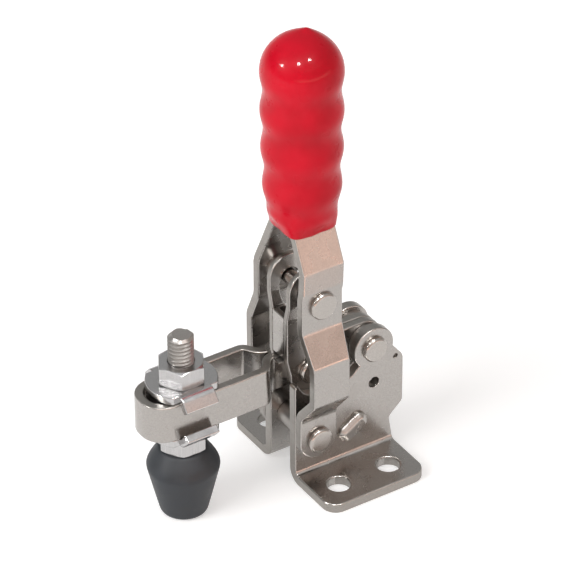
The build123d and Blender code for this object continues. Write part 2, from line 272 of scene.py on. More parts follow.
@dataclass(frozen=True)
class Vinyl(Finish):
    """Dipped vinyl.

    Attributes:
        colour: Hex code of the thick skin.
        deep: Hex code where it is thicker still.
        ripple: Length of the slow ripple that the bath leaves.
        relief: Height of the ripple.
        pool: Size of the patches where the skin is thicker.
        gloss: Lowest and highest roughness under the clear skin.
    """

    colour: str = "C80824"
    deep: str = "B6061E"
    ripple: float = 3.4 * MM
    relief: float = 0.09 * MM
    pool: float = 9.0 * MM
    gloss: Span = (0.26, 0.4)

    def shader(self, tree: bpy.types.NodeTree) -> bpy.types.NodeSocket:
        """Lay the ripple, the thicker patches and the clear skin.

        Args:
            tree: Node tree of the material.

        Returns:
            The shader.
        """
        ripple = speckle(tree, self.ripple, 2.0)
        pools = speckle(tree, self.pool, 2.0)
        colours = (srgb(self.deep), srgb(self.colour))
        skin = {"Specular IOR Level": 0.06, "Coat Weight": 0.25, "Coat Roughness": 0.05}
        return self.coated(tree, colours, pools, (ripple, self.gloss), (ripple, self.relief), skin)


@dataclass(frozen=True)
class Rubber(Finish):
    """Moulded rubber.

    Attributes:
        colour: Hex code of the rubber.
        rubbed: Hex code where use has rubbed it pale.
        tooth: Width of the mould's fine tooth.
        relief: Depth of that tooth.
        patch: Size of the rubbed patches.
        gloss: Lowest and highest roughness.
    """

    colour: str = "1D2126"
    rubbed: str = "292E34"
    tooth: float = 0.22 * MM
    relief: float = 0.02 * MM
    patch: float = 4.0 * MM
    gloss: Span = (0.48, 0.62)

    def shader(self, tree: bpy.types.NodeTree) -> bpy.types.NodeSocket:
        """Lay the mould's tooth and the rubbed patches.

        Args:
            tree: Node tree of the material.

        Returns:
            The shader.
        """
        tooth = speckle(tree, self.tooth, 3.0)
        patches = speckle(tree, self.patch, 3.0)
        colours = (srgb(self.colour), srgb(self.rubbed))
        return self.coated(tree, colours, patches, (patches, self.gloss), (tooth, self.relief), {})


@dataclass(frozen=True)
class PaleFloor(Finish):
    """Studio floor: white where the eye or a bright surface sees it, with the object's shadow kept.

    Attributes:
        colour: Hex code of the paint.
        mottle: Size of its faint patches.
        dulling: Share of its light that the paint keeps in them.
        lift: Light that only seen and mirrored rays get.
    """

    colour: str = "E6E6E6"
    mottle: float = 0.6
    dulling: float = 0.985
    lift: float = 0.42

    def shader(self, tree: bpy.types.NodeTree) -> bpy.types.NodeSocket:
        """Lay the matt paint and the lift.

        Args:
            tree: Node tree of the material.

        Returns:
            The sum of the two.
        """
        mottle = speckle(tree, self.mottle, 2.0)
        paint = srgb(self.colour)
        mix = {0: mottle, 6: darker(paint, self.dulling), 7: paint}
        shade = add_node(tree, "ShaderNodeMix", mix, data_type="RGBA").outputs[2]
        matt = add_node(tree, "ShaderNodeBsdfDiffuse", {"Color": shade})
        ray = add_node(tree, "ShaderNodeLightPath", {})
        seen = ray.outputs["Is Camera Ray"]
        for name in ("Is Glossy Ray", "Is Transmission Ray"):
            both = {0: seen, 1: ray.outputs[name]}
            seen = add_node(tree, "ShaderNodeMath", both, operation="ADD").outputs[0]
        strength = add_node(tree, "ShaderNodeMath", {0: seen, 1: self.lift}, operation="MULTIPLY")
        glow = add_node(tree, "ShaderNodeEmission", {"Strength": strength.outputs[0]})
        return add_node(tree, "ShaderNodeAddShader", {0: matt.outputs[0], 1: glow.outputs[0]}).outputs[0]


# The marks of the steels and the tooth of the rubber are a few hundredths of a millimetre wide on the
# real pieces, too fine to show, so they are drawn at 0.2 to 0.35 mm.
# Barrel tumbling rounds every corner and leaves a close satin with no direction, in soft clouds.
TUMBLED = Steel("tumbled stainless sheet", "ADA9A5", (0.2, 0.32), 6.0 * MM, 0.35 * MM, 0.0016 * MM)
# The press shears a blank's edge: short marks run through the sheet, rougher and darker than its faces.
BLANKED = Steel("blanked stainless edge", "9A9691", (0.3, 0.44), 3.0 * MM, 0.3 * MM, 0.006 * MM, Way.Y)
# A formed rivet head keeps the polish of its tool.
HEADED = Steel("headed stainless rivet", "B4AFAA", (0.16, 0.26), 2.5 * MM, 0.3 * MM, 0.0015 * MM)
# Nuts and washers are bright, with fine marks from the bar they were cut from.
BRIGHT = Steel("bright stainless fastener", "BFBEBE", (0.17, 0.27), 3.0 * MM, 0.25 * MM, 0.002 * MM, Way.Z)
# Rolling squeezes a thread smooth, though a film of oil and dust dulls its roots.
ROLLED = Steel("rolled stainless thread", "B2AEAA", (0.3, 0.42), 2.0 * MM, 0.3 * MM, 0.002 * MM)
# Spacers are turned and dull, and their darker colour is painted shade for their place inside the clamp.
TURNED_SHADED = Steel("turned stainless spacer", "9C9894", (0.28, 0.4), 3.0 * MM, 0.2 * MM, 0.003 * MM)
# Dipping leaves a thick red skin that sets with a clear gloss and a slow ripple.
DIPPED = Vinyl("dipped red vinyl")
# A mould's tooth keeps black rubber matt, and its shoulders rub paler.
MOULDED = Rubber("moulded black rubber")


# ---------------------------------------------------------------- bench tools


def take(obj: bpy.types.Object) -> None:
    """Make an object the only selected and active one.

    Args:
        obj: Object to work on.
    """
    bpy.ops.object.select_all(action="DESELECT")
    obj.select_set(True)
    bpy.context.view_layer.objects.active = obj


@contextmanager
def editing(obj: bpy.types.Object) -> Iterator[None]:
    """Hold an object in edit mode with nothing selected.

    Args:
        obj: Object to work on.

    Returns:
        A context in which the mesh operators act on that object.
    """
    take(obj)
    bpy.ops.object.mode_set(mode="EDIT")
    bpy.ops.mesh.select_mode(type="FACE")
    bpy.ops.mesh.select_all(action="DESELECT")
    yield
    bpy.ops.object.mode_set(mode="OBJECT")


def pick(test: Callable[[Vector, Vector], bool]) -> None:
    """Select the faces whose centre and normal pass a test, in edit mode.

    Args:
        test: Takes a face's centre and normal, and says whether it is wanted.
    """
    mesh = bmesh.from_edit_mesh(bpy.context.object.data)
    mesh.normal_update()
    for face in mesh.faces:
        face.select_set(test(face.calc_center_median(), face.normal))
    bmesh.update_edit_mesh(bpy.context.object.data)


def apply(obj: bpy.types.Object, kind: str, **settings: object) -> None:
    """Add a modifier to an object and apply it.

    Args:
        obj: Object that takes it.
        kind: Blender's name for the type of modifier.
        settings: Attributes of the modifier.
    """
    take(obj)
    modifier = obj.modifiers.new(kind.lower(), kind)
    for name, value in settings.items():
        setattr(modifier, name, value)
    bpy.ops.object.modifier_apply(modifier=modifier.name)


def fresh(name: str) -> bpy.types.Object:
    """Name the primitive that was just added, and put its place into its mesh.

    Args:
        name: Name of the piece.

    Returns:
        The object, standing at the origin, unturned and unscaled.
    """
    obj = bpy.context.object
    obj.name = obj.data.name = name
    take(obj)
    bpy.ops.object.transform_apply(location=True, rotation=True, scale=True)
    return obj


def evenly(at: Vector) -> float:
    """Give every edge the full rounding."""
    return 1.0


def soften(
    obj: bpy.types.Object,
    width: float,
    segments: int = 3,
    crisp: float = 42.0,
    share: Callable[[Vector], float] = evenly,
    corner: float = 38.0,
) -> None:
    """Round an object's outward edges and smooth its shading.

    Args:
        obj: Object to finish.
        width: Width of the rounding, on each face.
        segments: Steps across the rounding.
        crisp: Edges that turn by more than this many degrees stay crisp.
        share: Gives, from an edge's middle, its part of the rounding.
        corner: Edges that turn by more than this many degrees are rounded.
    """
    mesh = bmesh.new()
    mesh.from_mesh(obj.data)
    weight = mesh.edges.layers.float.new("bevel_weight_edge")
    for edge in mesh.edges:
        if edge.is_manifold and edge.is_convex and edge.calc_face_angle() > math.radians(corner):
            edge[weight] = share((edge.verts[0].co + edge.verts[1].co) / 2)
    mesh.to_mesh(obj.data)
    mesh.free()
    apply(obj, "BEVEL", width=width, segments=segments, limit_method="WEIGHT", use_clamp_overlap=False)
    take(obj)
    bpy.ops.object.shade_smooth_by_angle(angle=math.radians(crisp))
    apply(obj, "WEIGHTED_NORMAL", keep_sharp=True, weight=80)


def face_outwards(obj: bpy.types.Object) -> None:
    """Merge an object's doubles and turn its faces outwards.

    Args:
        obj: Object to mend.
    """
    with editing(obj):
        bpy.ops.mesh.select_all(action="SELECT")
        bpy.ops.mesh.remove_doubles(threshold=WELD / 2)
        bpy.ops.mesh.normals_make_consistent(inside=False)


def copy_solid(node: str, cuts: Sequence[tuple[Way, float]]) -> bpy.types.Object:
    """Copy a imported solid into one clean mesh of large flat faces.

    Args:
        node: Name of the solid.
        cuts: Planes through its holes, as axis and place, that keep the flat faces free of slivers.

    Returns:
        The copy, named for the dressed piece.
    """
    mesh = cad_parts[node].data.copy()
    obj = bpy.data.objects.new(f"{node}_dressed", mesh)
    mesh.name = obj.name
    mesh.materials.clear()
    bpy.context.scene.collection.objects.link(obj)
    with editing(obj):
        bpy.ops.mesh.select_all(action="SELECT")
        if mesh.has_custom_normals:
            bpy.ops.mesh.customdata_custom_splitnormals_clear()
        bpy.ops.mesh.remove_doubles(threshold=WELD)
        bpy.ops.mesh.select_mode(type="EDGE")
        for way, place in cuts:
            bpy.ops.mesh.select_all(action="SELECT")
            axis = Vector(way.value)
            bpy.ops.mesh.bisect(plane_co=axis * place, plane_no=axis, threshold=1e-7)
            bpy.ops.mesh.mark_seam()
        bpy.ops.mesh.select_all(action="SELECT")
        bpy.ops.mesh.dissolve_limited(angle_limit=math.radians(0.3), delimit={"SEAM"})
        bpy.ops.mesh.mark_seam(clear=True)
    return obj


@dataclass(frozen=True)
class Ring:
    """One ring of a turned piece: its level along the axis and its radius."""

    level: float
    radius: float


def turn_end(centre: Vector, way: Way, start: Ring, rings: Sequence[Ring]) -> None:
    """Draw the selected end face out along an axis, ring by ring, in edit mode.

    Args:
        centre: Point on the axis at level 0.
        way: The axis.
        start: Ring that bounds the selected end face.
        rings: Rings that follow it.
    """
    axis = Vector(way.value)
    last = start
    for ring in rings:
        rise = axis * (ring.level - last.level)
        bpy.ops.mesh.extrude_region_move(TRANSFORM_OT_translate={"value": rise})
        share = ring.radius / last.radius
        bpy.ops.transform.resize(
            value=[share + (1 - share) * part for part in way.value],
            center_override=centre + axis * ring.level,
        )
        last = ring


# ---------------------------------------------------------------- sub-assemblies


@dataclass
class SubAssembly:
    """Pieces that belong together, and the list of them once they are built."""

    pieces: list[bpy.types.Object] = field(default_factory=list, init=False)
    spacer_round: ClassVar[float] = 0.15 * MM

    def settle(self, obj: bpy.types.Object, node: str, body: Body, slot: Slot, finish: Finish) -> None:
        """Dress a finished piece, put it on its body and let it stand for its solid.

        Args:
            obj: The piece, in place.
            node: Solid that it replaces.
            body: Body that carries it.
            slot: Material slot of the record; not used.
            finish: Its main finish.
        """
        if not obj.data.materials:
            obj.data.materials.append(finish.material())
        else:
            obj.data.materials[0] = finish.material()
        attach(obj, body.value)
        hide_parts(node)
        self.pieces.append(obj)

    def press(
        self,
        node: str,
        body: Body,
        slot: Slot,
        round_off: float,
        cuts: Sequence[tuple[Way, float]],
        is_edge: Callable[[Vector, Vector], bool],
        share: Callable[[Vector], float] = evenly,
    ) -> None:
        """Dress a pressed sheet: rounded rims, tumbled faces and blanked edges.

        Args:
            node: Solid that gives the shape.
            body: Body that carries it.
            slot: Material slot of the record.
            round_off: Width of the rounding on its rims.
            cuts: Planes through its holes.
            is_edge: Says from a face's centre and normal whether it lies on the sheet's cut edge.
            share: Gives, from an edge's middle, its part of the rounding.
        """
        obj = copy_solid(node, cuts)
        soften(obj, round_off, share=share)
        obj.data.materials.append(TUMBLED.material())
        obj.data.materials.append(BLANKED.material())
        for face in obj.data.polygons:
            face.material_index = int(is_edge(face.center, face.normal))
        self.settle(obj, node, body, slot, TUMBLED)

    def refine(
        self,
        node: str,
        body: Body,
        slot: Slot,
        finish: Finish,
        round_off: float,
        cuts: Sequence[tuple[Way, float]],
        crisp: float = 42.0,
    ) -> None:
        """Dress a machined solid: rounded rims and one finish.

        Args:
            node: Solid that gives the shape.
            body: Body that carries it.
            slot: Material slot of the record.
            finish: Its finish.
            round_off: Width of the rounding on its rims.
            cuts: Planes through its hole.
            crisp: Edges that turn by more than this many degrees stay crisp.
        """
        obj = copy_solid(node, cuts)
        soften(obj, round_off, 2, crisp)
        self.settle(obj, node, body, slot, finish)

    def rivet(self, node: str, body: Body, place: Span, pin: float, head: float, seat: float) -> None:
        """Model a rivet: a pin with a flat, bevelled head formed on each end.

        Args:
            node: Solid that it replaces.
            body: Body that carries it.
            place: Its axis, as x and z.
            pin: Radius of the pin.
            head: Radius of a head.
            seat: Distance of a head's seat from the middle plane.
        """
        height, bevel, undercut = 1.25 * MM, 0.42 * MM, 0.1 * MM
        crown, land, round_off = 0.02 * MM, 0.6 * MM, 0.09 * MM
        centre = Vector((place[0], 0, place[1]))
        bpy.ops.mesh.primitive_cylinder_add(
            vertices=72, radius=pin, depth=2 * seat, location=centre, rotation=(math.pi / 2, 0, 0)
        )
        obj = fresh(f"{node}_dressed")
        for side in (-1, 1):
            rings = [
                Ring(side * seat, head - undercut),
                Ring(side * (seat + undercut), head),
                Ring(side * (seat + height - bevel), head),
                Ring(side * (seat + height), head - bevel),
                Ring(side * (seat + height + crown), head - bevel - land),
            ]
            with editing(obj):
                pick(lambda at, normal: normal.y * side > 0.9 and at.y * side > seat - undercut)
                turn_end(centre, Way.Y, Ring(side * seat, pin), rings)
        face_outwards(obj)
        soften(obj, round_off, 2)
        self.settle(obj, node, body, Slot.RIVET, HEADED)


@dataclass
class Base(SubAssembly):
    """Two bent plates that stand back to back, with the pivots that they carry.

    Attributes:
        round_off: Rounding of the plates' rims.
        flange_level: Faces below this level belong to the flanges.
        upright: Distance from the middle plane within which the flanges' bends lie.
        handle_pivot: Pivot of the handle, as x and z.
        arm_pivot: Pivot of the arm, as x and z.
        pin: Radius of both rivets' pins.
        head: Radius of their heads.
        strap_seat: Where the handle rivet's heads sit, on the straps.
        plate_seat: Where the arm rivet's heads sit, on the plates.
        holes: Places along x of all holes.
        index_hole: The small hole, as x and z.
        index_share: Part of the rounding that its rim gets.
        dimple: The dimple, as x and z.
        reach: Edges this near to the small hole or the dimple belong to it.
    """

    round_off: float = 0.34 * MM
    flange_level: float = 3.9 * MM
    upright: float = 15.0 * MM
    handle_pivot: Span = (-8.35 * MM, 12.3 * MM)
    arm_pivot: Span = (8.1 * MM, 29.6 * MM)
    pin: float = 2.0 * MM
    head: float = 3.1 * MM
    strap_seat: float = 8.9 * MM
    plate_seat: float = 6.4 * MM
    holes: tuple[float, ...] = (-8.35 * MM, -6.75 * MM, 6.75 * MM, 8.1 * MM, 13.9 * MM)
    index_hole: Span = (8.1 * MM, 20.1 * MM)
    index_share: float = 0.33
    dimple: Span = (13.9 * MM, 25.3 * MM)
    reach: float = 1.8 * MM

    def is_cut(self, at: Vector, normal: Vector) -> bool:
        """Say whether a face lies on a plate's cut edge.

        Args:
            at: Centre of the face.
            normal: Its normal.

        Returns:
            True on the cut edge, False on the faces of the sheet.
        """
        if at.z > self.flange_level:
            return abs(normal.y) < 0.4
        return abs(normal.z) < 0.4 and (abs(normal.x) > 0.3 or abs(at.y) > self.upright)

    def rim_share(self, at: Vector) -> float:
        """Give an edge its part of the rounding: little on the small hole, none in the dimple.

        Args:
            at: Middle of the edge.

        Returns:
            The part, from 0 to 1.
        """
        if math.hypot(at.x - self.dimple[0], at.z - self.dimple[1]) < self.reach:
            return 0.0
        if math.hypot(at.x - self.index_hole[0], at.z - self.index_hole[1]) < self.reach:
            return self.index_share
        return 1.0

    def build(self) -> None:
        """Build the plates, both rivets, the sleeve between the plates and the arm's side washers."""
        cuts = [(Way.X, x) for x in self.holes]
        for node in ("base_plate_far", "base_plate_near"):
            self.press(node, Body.BASE, Slot.BASE, self.round_off, cuts, self.is_cut, self.rim_share)
        self.rivet("base_rivet", Body.BASE, self.handle_pivot, self.pin, self.head, self.strap_seat)
        self.rivet("arm_rivet", Body.BASE, self.arm_pivot, self.pin, self.head, self.plate_seat)
        cuts = [(Way.X, self.handle_pivot[0])]
        self.refine("base_sleeve", Body.BASE, Slot.SPACER, TURNED_SHADED, self.spacer_round, cuts)
        cuts = [(Way.X, self.arm_pivot[0])]
        for node in ("arm_washer_far", "arm_washer_near"):
            self.refine(node, Body.BASE, Slot.SPACER, TURNED_SHADED, self.spacer_round, cuts)


@dataclass
class Grip:
    """Dipped handle: a wavy club with a pinched crown, drawn in square round the straps.

    Attributes:
        axis: Place of its axis along x.
        bottom: Level of its lip.
        top: Level of its crown, without the drip.
        radius: Radius on the fullest wave.
        taper: How much slimmer the club is at its bottom.
        taper_power: How late the slimming sets in, going down.
        wave: Half the depth of a wave.
        pitch: Distance between waves.
        lip: Height and inset of the lip's rounding, at its foot and over it.
        core: Points nearer the axis than this close the bottom, and stay.
        skirt_half: Half width of the square skirt.
        skirt_power: How square it is: 2 would be round.
        skirt_height: Height over which it turns round.
        fold: Height of the skirt's folds.
        fold_height: Height over which they fade out.
        flattening: How much lower than a half ball the crown is.
        nub: Height of the drip that is left on the crown.
        nub_spread: Its spread.
        nub_power: How round its tip is: 2 would be a bell, 1 a spike.
        nub_place: Its place from the axis, as x and y.
    """

    axis: float = -7.05 * MM
    bottom: float = 66.3 * MM
    top: float = 115.0 * MM
    radius: float = 9.3 * MM
    taper: float = 1.2 * MM
    taper_power: float = 3.2
    wave: float = 0.33 * MM
    pitch: float = 9.7 * MM
    lip: tuple[Span, Span] = ((0.12 * MM, 0.1 * MM), (0.45 * MM, 0.45 * MM))
    core: float = 4.0 * MM
    skirt_half: float = 6.15 * MM
    skirt_power: float = 5.0
    skirt_height: float = 5.0 * MM
    fold: float = 0.07 * MM
    fold_height: float = 9.0 * MM
    flattening: float = 0.2 * MM
    nub: float = 0.9 * MM
    nub_spread: float = 1.9 * MM
    nub_power: float = 1.4
    nub_place: Span = (1.9 * MM, 1.1 * MM)

    def side(self, level: float) -> float:
        """Work out the wavy side.

        Args:
            level: Level on the club.

        Returns:
            Its radius there.
        """
        crown = self.top - self.radius
        share = (crown - level) / (crown - self.bottom)
        wave = self.wave * math.cos(2 * math.pi * (crown - level) / self.pitch)
        return self.radius - self.wave - self.taper * max(share, 0) ** self.taper_power + wave

    def rings(self, steps: int = 72, dome_steps: int = 22) -> list[Ring]:
        """List the rings from the skirt's lip up to the crown.

        Args:
            steps: Steps up the side.
            dome_steps: Steps from there to the crown's middle, of which the last is left out.

        Returns:
            The rings.
        """
        crown = self.top - self.radius
        height = self.radius - self.flattening
        (rise, inset), (start, _) = self.lip
        lip = [Ring(self.bottom + rise, self.side(self.bottom) - inset)]
        low = self.bottom + start
        levels = [low + (crown - low) * i / steps for i in range(steps + 1)]
        flank = [Ring(level, self.side(level)) for level in levels]
        turns = [math.radians(90 * i / dome_steps) for i in range(1, dome_steps)]
        dome = [Ring(crown + height * math.sin(a), self.radius * math.cos(a)) for a in turns]
        return lip + flank + dome

    def form(self, point: Vector) -> Vector:
        """Move one point of the round club to the drawn-in skirt, its folds and the pinched crown.

        Args:
            point: A point of the turned shape.

        Returns:
            Its place on the finished shape.
        """
        x, y = point.x - self.axis, point.y
        radius, turn = math.hypot(x, y), math.atan2(y, x)
        rise = point.z - self.bottom
        drawn = min(max(rise / self.skirt_height, 0.0), 1.0)
        drawn = drawn * drawn * (3 - 2 * drawn)
        corners = abs(math.cos(turn)) ** self.skirt_power + abs(math.sin(turn)) ** self.skirt_power
        square = self.skirt_half * corners ** (-1 / self.skirt_power)
        if radius > self.core and rise < self.skirt_height:
            inset = min(radius - self.side(point.z), 0)
            radius = square + inset + (radius - square - inset) * drawn
        fade = max(0.0, 1 - rise / self.fold_height)
        fold = math.sin(7 * turn + 1.3) + 0.6 * math.sin(11 * turn + 0.4 + 0.5 * point.z / MM)
        radius += self.fold * fade * fold if radius > self.core else 0.0
        off = math.hypot(x - self.nub_place[0], y - self.nub_place[1])
        drip = self.nub * math.exp(-((off / self.nub_spread) ** self.nub_power))
        lift = drip if point.z > self.top - self.radius else 0.0
        return Vector((self.axis + radius * math.cos(turn), radius * math.sin(turn), point.z + lift))

    def build(self) -> bpy.types.Object:
        """Draw the club up from its lip, ring by ring, then form the skirt and the crown.

        Returns:
            The finished grip.
        """
        start = Ring(self.bottom, self.side(self.bottom) - self.lip[1][1])
        bpy.ops.mesh.primitive_circle_add(
            vertices=96, radius=start.radius, fill_type="NGON", location=(self.axis, 0, start.level)
        )
        obj = fresh("grip_dressed")
        with editing(obj):
            bpy.ops.mesh.select_all(action="SELECT")
            turn_end(Vector((self.axis, 0, 0)), Way.Z, start, self.rings())
        for vertex in obj.data.vertices:
            vertex.co = self.form(vertex.co)
        face_outwards(obj)
        bpy.ops.object.shade_smooth_by_angle(angle=math.radians(60))
        return obj


@dataclass
class Handle(SubAssembly):
    """Two bent straps that meet in the grip, with the toggle rivet and its spacers."""

    round_off: float = 0.42 * MM
    toggle_pivot: Span = (-8.35 * MM, 50.3 * MM)
    pin: float = 1.75 * MM
    head: float = 3.35 * MM
    seat: float = 10.2 * MM

    def is_cut(self, at: Vector, normal: Vector) -> bool:
        """Say whether a face lies on a strap's cut edge."""
        return abs(normal.y) < 0.35

    def build(self) -> None:
        """Build the straps, the toggle rivet, its spacers and the grip."""
        cuts = [(Way.X, self.toggle_pivot[0])]
        for node in ("strap_far", "strap_near"):
            self.press(node, Body.HANDLE, Slot.STRAP, self.round_off, cuts, self.is_cut)
        self.rivet("toggle_rivet", Body.HANDLE, self.toggle_pivot, self.pin, self.head, self.seat)
        for node in ("toggle_spacer_far", "toggle_spacer_near"):
            self.refine(node, Body.HANDLE, Slot.SPACER, TURNED_SHADED, self.spacer_round, cuts)
        self.settle(Grip().build(), "grip", Body.HANDLE, Slot.GRIP, DIPPED)


@dataclass
class Link(SubAssembly):
    """Folded channel between the arm and the handle, and its rivet.

    Attributes:
        round_off: Rounding of the channel's rims.
        spine_back: Faces ahead of this place along x may belong to the spine.
        spine_levels: Levels between which the spine lies.
        slot: Place along x of the slots' front end.
        pivot: Pivot on the arm, as x and z.
        pin: Radius of the rivet's pin.
        head: Radius of its heads.
        seat: Where its heads sit.
    """

    round_off: float = 0.3 * MM
    spine_back: float = -11.6 * MM
    spine_levels: Span = (32.6 * MM, 43.6 * MM)
    slot: float = -9.0 * MM
    pivot: Span = (-7.2 * MM, 28.1 * MM)
    pin: float = 2.0 * MM
    head: float = 3.1 * MM
    seat: float = 3.75 * MM

    def is_cut(self, at: Vector, normal: Vector) -> bool:
        """Say whether a face lies on the channel's cut edge.

        Args:
            at: Centre of the face.
            normal: Its normal.

        Returns:
            True on the cut edge, False on the faces of the sheet.
        """
        low, high = self.spine_levels
        on_spine = at.x < self.spine_back and low < at.z < high and abs(normal.x) > 0.5
        return abs(normal.y) < 0.35 and not on_spine

    def build(self) -> None:
        """Build the channel and its rivet."""
        cuts = [(Way.X, self.pivot[0]), (Way.X, self.slot), (Way.Y, 0.0)]
        self.press("link", Body.LINK, Slot.LINK, self.round_off, cuts, self.is_cut)
        self.rivet("link_rivet", Body.LINK, self.pivot, self.pin, self.head, self.seat)


@dataclass
class Arm(SubAssembly):
    """Strip folded into the loop that holds the spindle."""

    round_off: float = 0.4 * MM
    loop_end: float = -19.4 * MM
    holes: tuple[float, ...] = (-7.2 * MM, 8.1 * MM)

    def is_cut(self, at: Vector, normal: Vector) -> bool:
        """Say whether a face lies on the strip's cut edge."""
        return abs(normal.z) > 0.5 or (at.x > self.loop_end and abs(normal.y) < 0.35)

    def build(self) -> None:
        """Build the strip."""
        cuts = [(Way.Y, 0.0)] + [(Way.X, x) for x in self.holes]
        self.press("arm", Body.ARM, Slot.ARM, self.round_off, cuts, self.is_cut)


@dataclass
class Spindle(SubAssembly):
    """Threaded stud with its nuts, lipped washers and rubber tip.

    Attributes:
        x: Place of its axis along x.
        pitch: Pitch of the thread.
        crest: Radius on the thread's crests.
        root: Radius in its roots.
        bottom: Level of the stud's lower end, inside the tip.
        top: Level of its upper end.
        end_bevel: Height of the bevel there.
        end_share: Part of the crest's radius that the end's face has.
        washer_levels: Levels of the washers' faces that lie on the loop.
        washer_sheet: Thickness of a washer.
        washer_radius: Its radius.
        washer_round: Rounding of its rims.
        bend_start: Distance from the axis at which its lips start to bend.
        bend_radius: Outside radius of that bend.
        lip_half: Half width of a lip.
        lip_straight: Its length past the bend.
        lip_angle: How far it is bent.
        bore: Radius of a washer's hole.
        nut_round: Rounding of a nut's rims.
        nut_crisp: Edges of a nut that turn by more than this many degrees stay crisp.
        tip_profile: Level and radius of the tip's rings, from the hollow of its foot to its collar.
    """

    x: float = -39.0 * MM
    pitch: float = 1.0 * MM
    crest: float = 2.98 * MM
    root: float = 2.42 * MM
    bottom: float = 6.0 * MM
    top: float = 48.4 * MM
    end_bevel: float = 0.6 * MM
    end_share: float = 0.84
    washer_levels: Span = (34.45 * MM, 24.75 * MM)
    washer_sheet: float = 2.0 * MM
    washer_radius: float = 8.2 * MM
    washer_round: float = 0.3 * MM
    bend_start: float = 5.76 * MM
    bend_radius: float = 2.6 * MM
    lip_half: float = 4.2 * MM
    lip_straight: float = 2.38 * MM
    lip_angle: float = 50.0
    bore: float = 3.05 * MM
    nut_round: float = 0.12 * MM
    nut_crisp: float = 22.0
    tip_profile: tuple[Span, ...] = (
        (0.7, 3.4), (0.45, 3.9), (0.3, 4.3), (0.3, 4.7), (0.38, 5.05), (0.6, 5.35), (0.95, 5.53),
        (1.6, 5.72), (5.2, 6.6), (8.8, 7.45), (11.2, 8.02), (11.9, 8.19), (12.4, 8.3), (12.8, 8.35),
        (13.2, 8.31), (13.7, 8.15), (14.4, 7.82), (15.4, 7.24), (16.4, 6.58),
        (17.1, 6.1), (17.6, 5.76), (17.85, 5.5), (17.95, 5.2), (17.95, 4.6),
    )

    def stud(self) -> bpy.types.Object:
        """Sweep one ridge of thread round and up the stud, then cut its ends and bevel the upper one.

        Returns:
            The finished stud.
        """
        low = self.bottom - 1.5 * self.pitch
        bpy.ops.mesh.primitive_plane_add(size=self.pitch, location=(self.x, 0, 0))
        obj = bpy.context.object
        obj.name = obj.data.name = "stud_dressed"
        deep, flat = self.root - self.crest, self.pitch / 8
        flank = (self.pitch - 3 * flat) / 2
        ridge = [(0, flat), (-deep, flank), (0, flat), (deep, flank), (0, flat)]
        with editing(obj):
            bpy.ops.mesh.select_all(action="SELECT")
            bpy.ops.mesh.merge(type="CENTER")
            bpy.ops.mesh.select_mode(type="VERT")
            bpy.ops.mesh.select_all(action="SELECT")
            bpy.ops.transform.translate(value=(self.root, 0, low))
            for out, up in ridge:
                bpy.ops.mesh.extrude_region_move(TRANSFORM_OT_translate={"value": (out, 0, up)})
        apply(
            obj,
            "SCREW",
            screw_offset=self.pitch,
            iterations=math.ceil((self.top - low) / self.pitch),
            steps=40,
            render_steps=40,
            use_merge_vertices=True,
            merge_threshold=WELD / 2,
        )
        bpy.ops.object.transform_apply(location=True, rotation=True, scale=True)
        shoulder = self.top - self.end_bevel
        with editing(obj):
            bpy.ops.mesh.select_all(action="SELECT")
            bpy.ops.mesh.remove_doubles(threshold=WELD)
            for level, up in ((shoulder, 1), (self.bottom, -1)):
                bpy.ops.mesh.select_all(action="SELECT")
                bpy.ops.mesh.bisect(plane_co=(self.x, 0, level), plane_no=(0, 0, up), clear_outer=True)
                bpy.ops.mesh.edge_face_add()
            bpy.ops.mesh.select_mode(type="FACE")
            bpy.ops.mesh.select_all(action="SELECT")
            bpy.ops.mesh.normals_make_consistent(inside=False)
            pick(lambda at, normal: normal.z > 0.95 and at.z > shoulder - 0.01 * MM)
            rings = [Ring(self.top, self.end_share * self.crest)]
            turn_end(Vector((self.x, 0, 0)), Way.Z, Ring(shoulder, self.crest), rings)
        bpy.ops.object.shade_smooth_by_angle(angle=math.radians(30))
        return obj

    def washer(self, name: str, face: float, up: int) -> bpy.types.Object:
        """Cut a round blank to two flats, bend a lip off each flat and bore it.

        Args:
            name: Name of the piece.
            face: Level of the face that lies on the loop.
            up: 1 for the washer over the loop, -1 for the one under it.

        Returns:
            The finished washer.
        """
        outer = face + up * self.washer_sheet
        middle = (self.x, 0, (face + outer) / 2)
        turn = math.radians(self.lip_angle)
        bpy.ops.mesh.primitive_cylinder_add(
            vertices=128, radius=self.washer_radius, depth=self.washer_sheet, location=middle
        )
        obj = fresh(name)
        with editing(obj):
            for side in (1, -1):
                bpy.ops.mesh.select_all(action="SELECT")
                edge = (self.x, side * self.bend_start, 0)
                bpy.ops.mesh.bisect(plane_co=edge, plane_no=(0, side, 0), use_fill=True, clear_outer=True)
            for side in (1, -1):
                bpy.ops.mesh.select_all(action="SELECT")
                bpy.ops.mesh.bisect(plane_co=(self.x + side * self.lip_half, 0, 0), plane_no=(1, 0, 0))
            bpy.ops.mesh.select_mode(type="FACE")
            for side in (1, -1):
                pick(lambda at, normal: normal.y * side > 0.9 and abs(at.x - self.x) < self.lip_half)
                bpy.ops.mesh.spin(
                    steps=8,
                    angle=turn * side * up,
                    center=(self.x, side * self.bend_start, outer - up * self.bend_radius),
                    axis=(1, 0, 0),
                )
                out = Vector((0, side * math.cos(turn), -up * math.sin(turn))) * self.lip_straight
                bpy.ops.mesh.extrude_region_move(TRANSFORM_OT_translate={"value": out})
        face_outwards(obj)
        bpy.ops.object.select_all(action="DESELECT")
        bpy.ops.mesh.primitive_cylinder_add(
            vertices=96, radius=self.bore, depth=5 * self.washer_sheet, location=(self.x, 0, face)
        )
        drill = fresh("drill")
        apply(obj, "BOOLEAN", object=drill, operation="DIFFERENCE", solver="EXACT")
        bpy.data.objects.remove(drill)
        soften(obj, self.washer_round)
        return obj

